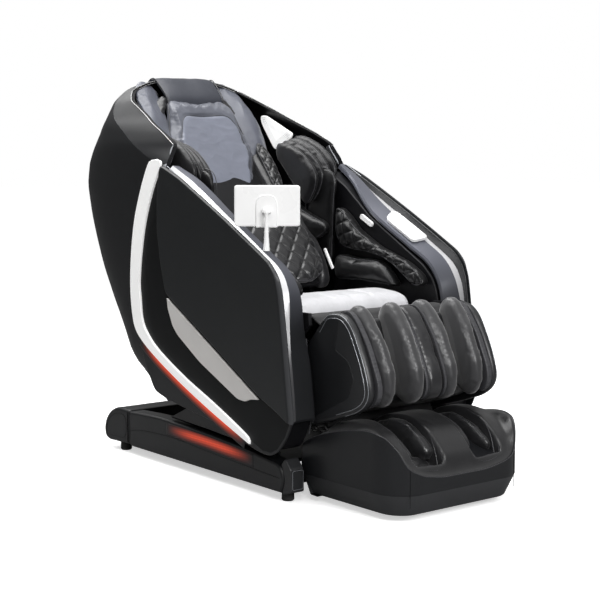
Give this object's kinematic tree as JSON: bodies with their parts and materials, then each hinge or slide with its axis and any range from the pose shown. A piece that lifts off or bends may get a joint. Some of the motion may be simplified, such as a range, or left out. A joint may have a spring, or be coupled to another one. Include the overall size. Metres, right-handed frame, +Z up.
{
  "type": "massage chair",
  "caption": "Full-size massage chair with side pods, reclining shell back, lifting calf and foot rest, sliding base and a tablet arm.",
  "frame": {"origin": "on the floor, at the middle of the chair's footprint", "axes": "+Z up; the chair faces -Y, so +Y is towards its back; +X is the sitter's left"},
  "size_m": [0.786, 1.688, 1.3],
  "materials": {
    "satin_black": "satin",
    "charcoal": "fine texture",
    "frame_steel": "black powder coat",
    "motor_grey": "moulded",
    "rubber": "matt",
    "black_leather": "fine grain",
    "grey_leather": "fine grain, satin sheen",
    "white_plastic": "satin",
    "silver_trim": "satin silver paint",
    "arm_satin": "satin pearl paint"
  },
  "bodies": {
    "base": {"base_frame": "frame_steel", "base_cover_left": "satin_black", "base_cover_right": "satin_black", "front_cap_left": "charcoal", "front_cap_right": "charcoal", "base_rear_cover": "satin_black", "foot_front_left": "rubber", "foot_front_right": "rubber", "foot_rear_left": "rubber", "foot_rear_right": "rubber", "control_box": "motor_grey"},
    "wheels": {"transport_wheels": "rubber"},
    "carriage": {"slide_carriage": "charcoal"},
    "tilt_motor": {"tilt_actuator": "motor_grey"},
    "tilt_rod": {"tilt_rod": "frame_steel"},
    "seat": {"seat_frame": "frame_steel", "seat_cushion": "grey_leather", "arm_shell_left": "satin_black", "arm_shell_right": "satin_black", "arm_top_left": "arm_satin", "arm_top_right": "arm_satin", "arm_skirt_left": "satin_black", "arm_skirt_right": "satin_black", "arm_panel_left": "satin_black", "arm_panel_right": "satin_black", "light_strip_left": "white_plastic", "light_strip_right": "white_plastic", "badge_left": "silver_trim", "badge_right": "silver_trim", "arm_pad_left": "black_leather", "arm_pad_right": "black_leather", "hip_pad_left": "black_leather", "hip_pad_right": "black_leather", "control_panel": "white_plastic", "recline_actuator": "motor_grey", "legrest_actuator": "motor_grey"},
    "dial": {"control_dial": "silver_trim"},
    "key_rear": {"control_key_rear": "white_plastic"},
    "key_front": {"control_key_front": "white_plastic"},
    "quick_key": {"quick_key": "white_plastic"},
    "tablet_arm": {"tablet_arm": "white_plastic"},
    "tablet": {"tablet": "white_plastic"},
    "recline_rod": {"recline_rod": "frame_steel"},
    "legrest_rod": {"legrest_rod": "frame_steel"},
    "back": {"back_shell": "satin_black", "back_frame": "frame_steel", "back_pad": "black_leather", "head_pillow": "grey_leather", "shoulder_pad_left": "black_leather", "shoulder_pad_right": "black_leather", "speaker_left": "white_plastic", "speaker_right": "white_plastic"},
    "massage": {"massage_carriage": "motor_grey"},
    "kneading": {"kneading_rollers": "white_plastic"},
    "calf": {"calf_shell": "satin_black", "calf_pad_left": "black_leather", "calf_pad_right": "black_leather"},
    "foot": {"foot_shell": "satin_black", "foot_cushion": "black_leather"},
    "foot_rollers": {"foot_rollers": "white_plastic"}
  },
  "joints": [
    {"name": "carriage_slide", "type": "slide", "parent": "base", "child": "carriage", "axis": [0, -1, 0], "range_m": [0, 0.12]},
    {"name": "seat_tilt", "type": "hinge", "parent": "carriage", "child": "seat", "pos_m": [0, 0.033, 0.185], "axis": [-1, 0, 0], "range_deg": [0, 10]},
    {"name": "back_recline", "type": "hinge", "parent": "seat", "child": "back", "pos_m": [0, 0.178, 0.45], "axis": [-1, 0, 0], "range_deg": [0, 28]},
    {"name": "legrest_lift", "type": "hinge", "parent": "seat", "child": "calf", "pos_m": [0, -0.442, 0.555], "axis": [-1, 0, 0], "range_deg": [0, 80]},
    {"name": "footrest_slide", "type": "slide", "parent": "calf", "child": "foot", "axis": [0, -0.35, -0.9367], "range_m": [0, 0.12]},
    {"name": "foot_roller_spin", "type": "hinge", "parent": "foot", "child": "foot_rollers", "pos_m": [0, -0.612, 0.172], "axis": [1, 0, 0], "continuous": true},
    {"name": "massage_travel", "type": "slide", "parent": "back", "child": "massage", "axis": [0, 0.6769, 0.7361], "range_m": [0, 0.41]},
    {"name": "kneading_spin", "type": "hinge", "parent": "massage", "child": "kneading", "pos_m": [0, 0.24857, 0.68173], "axis": [1, 0, 0], "continuous": true},
    {"name": "wheel_spin", "type": "hinge", "parent": "base", "child": "wheels", "pos_m": [0, 0.583, 0.025], "axis": [1, 0, 0], "continuous": true},
    {"name": "tilt_motor_swing", "type": "hinge", "parent": "carriage", "child": "tilt_motor", "pos_m": [0, -0.277, 0.104], "axis": [-1, 0, 0], "range_deg": [0, 7]},
    {"name": "tilt_rod_travel", "type": "slide", "parent": "tilt_motor", "child": "tilt_rod", "axis": [0, -0.0971, 0.9953], "range_m": [0, 0.055]},
    {"name": "recline_rod_travel", "type": "slide", "parent": "seat", "child": "recline_rod", "axis": [0, -1, 0], "range_m": [0, 0.06]},
    {"name": "legrest_rod_travel", "type": "slide", "parent": "seat", "child": "legrest_rod", "axis": [0, -0.9119, 0.4105], "range_m": [0, 0.1]},
    {"name": "tablet_swivel", "type": "hinge", "parent": "seat", "child": "tablet_arm", "pos_m": [-0.3285, -0.32, 0.78], "axis": [0, 0, 1], "range_deg": [-40, 90]},
    {"name": "tablet_tilt", "type": "hinge", "parent": "tablet_arm", "child": "tablet", "pos_m": [-0.3285, -0.32, 0.874], "axis": [0.7826, -0.6225, 0], "range_deg": [-15, 30]},
    {"name": "dial_turn", "type": "hinge", "parent": "seat", "child": "dial", "pos_m": [0.323, -0.22856, 0.79118], "axis": [-0.3256, -0.4293, 0.8425], "range_deg": [-150, 150]},
    {"name": "key_rear_press", "type": "slide", "parent": "seat", "child": "key_rear", "axis": [0.3256, 0.4293, -0.8425], "range_m": [0, 0.001]},
    {"name": "key_front_press", "type": "slide", "parent": "seat", "child": "key_front", "axis": [0.3256, 0.4293, -0.8425], "range_m": [0, 0.001]},
    {"name": "quick_key_press", "type": "slide", "parent": "seat", "child": "quick_key", "axis": [1, 0, 0], "range_m": [0, 0.0015]}
  ],
  "couplings": [
    {"joint": "carriage_slide", "follows": "back_recline", "m_per_rad": 0.2455},
    {"joint": "recline_rod_travel", "follows": "back_recline", "m_per_rad": 0.1187},
    {"joint": "footrest_slide", "follows": "legrest_lift", "m_per_rad": 0.0859},
    {"joint": "legrest_rod_travel", "follows": "legrest_lift", "m_per_rad": 0.0709},
    {"joint": "tilt_motor_swing", "follows": "seat_tilt", "ratio": 0.65},
    {"joint": "tilt_rod_travel", "follows": "seat_tilt", "m_per_rad": 0.3128}
  ]
}
